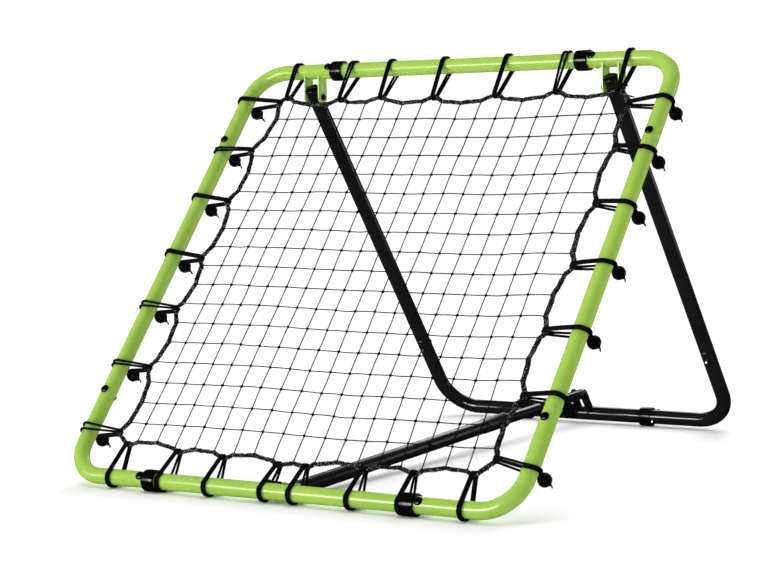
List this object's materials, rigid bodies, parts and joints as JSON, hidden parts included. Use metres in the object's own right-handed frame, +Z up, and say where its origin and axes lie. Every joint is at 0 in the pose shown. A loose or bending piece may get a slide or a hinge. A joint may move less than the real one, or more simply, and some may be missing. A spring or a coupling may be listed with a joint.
{
  "type": "multisport rebounder",
  "caption": "Folding rebounder: a leaning square tube frame with a net on bungees, held up by a folding rear frame and a telescopic strut.",
  "frame": {"origin": "on the floor, in the middle of the stand's width and depth", "axes": "+X along the frame's level tubes, to the right for a player who faces the net; +Y from the net to the rear frame; +Z up"},
  "size_m": [1.0102, 1.1442, 0.7858],
  "materials": {
    "green_tube": "glossy powder coat",
    "black_tube": "satin",
    "bolt": "glossy",
    "black_plastic": "glossy",
    "net_twine": "matte",
    "border_rope": "matte",
    "bungee": "satin"
  },
  "bodies": {
    "front_frame": {"frame_corner_top_left": "green_tube", "frame_corner_top_right": "green_tube", "frame_corner_bottom_left": "green_tube", "frame_corner_bottom_right": "green_tube", "frame_top_tube": "green_tube", "frame_bottom_tube": "green_tube", "frame_left_tube": "green_tube", "frame_right_tube": "green_tube", "top_collar_left": "black_plastic", "top_collar_right": "black_plastic", "bottom_collar_left": "black_plastic", "bottom_collar_right": "black_plastic", "leg_hinge_bolt_left": "bolt", "leg_hinge_bolt_right": "bolt", "strut_front_bolt": "bolt", "net": "net_twine", "net_border_rope": "border_rope", "bungee_top_1": "bungee", "bungee_top_2": "bungee", "bungee_top_3": "bungee", "bungee_top_4": "bungee", "bungee_top_5": "bungee", "bungee_top_6": "bungee", "bungee_top_7": "bungee", "bungee_bottom_1": "bungee", "bungee_bottom_2": "bungee", "bungee_bottom_3": "bungee", "bungee_bottom_4": "bungee", "bungee_bottom_5": "bungee", "bungee_bottom_6": "bungee", "bungee_bottom_7": "bungee", "bungee_bottom_8": "bungee", "bungee_left_1": "bungee", "bungee_left_2": "bungee", "bungee_left_3": "bungee", "bungee_left_4": "bungee", "bungee_left_5": "bungee", "bungee_left_6": "bungee", "bungee_left_7": "bungee", "bungee_right_1": "bungee", "bungee_right_2": "bungee", "bungee_right_3": "bungee", "bungee_right_4": "bungee", "bungee_right_5": "bungee", "bungee_right_6": "bungee", "bungee_right_7": "bungee"},
    "rear_frame": {"rear_leg_left": "black_tube", "rear_leg_right": "black_tube", "rear_corner_left": "black_tube", "rear_corner_right": "black_tube", "rear_base_tube": "black_tube", "rear_collar_left": "black_plastic", "rear_collar_right": "black_plastic", "leg_end_plug_left": "black_plastic", "leg_end_plug_right": "black_plastic", "strut_rear_bolt": "bolt"},
    "strut_outer": {"strut_outer_tube": "black_tube", "strut_guide_bush": "black_plastic"},
    "lock_sleeve": {"strut_lock_sleeve": "black_plastic"},
    "strut_inner": {"strut_inner_tube": "black_tube"}
  },
  "joints": [
    {"name": "rear_frame_hinge", "type": "hinge", "parent": "front_frame", "child": "rear_frame", "pos_m": [0, 0.06908, 0.71383], "axis": [-1, 0, 0], "range_deg": [0, 18]},
    {"name": "strut_swing", "type": "hinge", "parent": "front_frame", "child": "strut_outer", "pos_m": [0, -0.50981, 0.01633], "axis": [-1, 0, 0], "range_deg": [0, 7.1]},
    {"name": "strut_slide", "type": "slide", "parent": "strut_outer", "child": "strut_inner", "axis": [0, -0.999, -0.0452], "range_m": [0, 0.2206]},
    {"name": "lock_sleeve_twist", "type": "hinge", "parent": "strut_outer", "child": "lock_sleeve", "pos_m": [0, 0.16, 0.0466], "axis": [0, 0.999, 0.0452], "range_deg": [0, 90]}
  ],
  "couplings": [
    {"joint": "strut_swing", "follows": "rear_frame_hinge", "ratio": 0.38994},
    {"joint": "strut_slide", "follows": "rear_frame_hinge", "m_per_rad": 0.70066}
  ]
}
